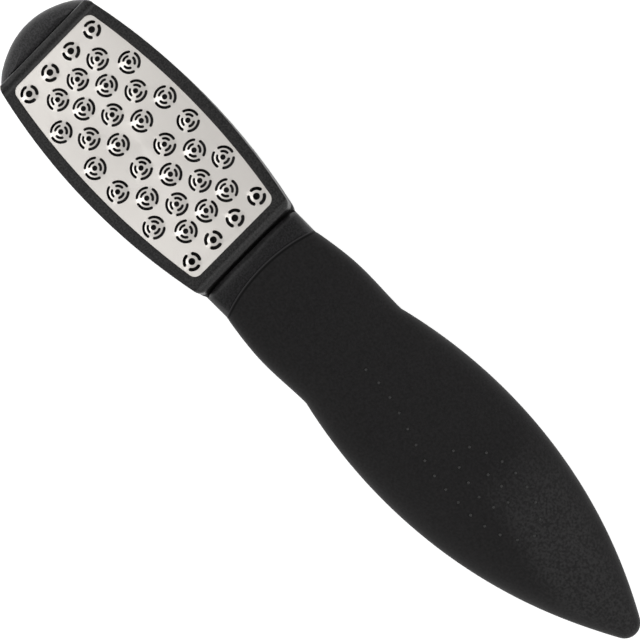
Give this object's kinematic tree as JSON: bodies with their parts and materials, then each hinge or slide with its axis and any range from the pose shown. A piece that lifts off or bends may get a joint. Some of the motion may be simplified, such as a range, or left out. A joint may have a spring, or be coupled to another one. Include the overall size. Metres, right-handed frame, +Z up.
{
  "type": "callus shaver",
  "caption": "Long hand rasp for hard skin: a sloping head with a slotted stainless plate in a clamped bezel, and a leaf-shaped soft grip.",
  "frame": {"origin": "middle of the overall length, on the surface the tool lies on", "axes": "+X from the nose of the head to the tip of the handle, +Y across, +Z up out of the rasp side"},
  "size_m": [0.22, 0.0414, 0.0242],
  "materials": {
    "satin_steel": "satin",
    "black_plastic": "satin",
    "soft_rubber": "matt"
  },
  "bodies": {
    "root": {"rasp_plate": "satin_steel", "plate_frame": "black_plastic", "handle_core": "black_plastic", "soft_grip": "soft_rubber"}
  },
  "joints": []
}
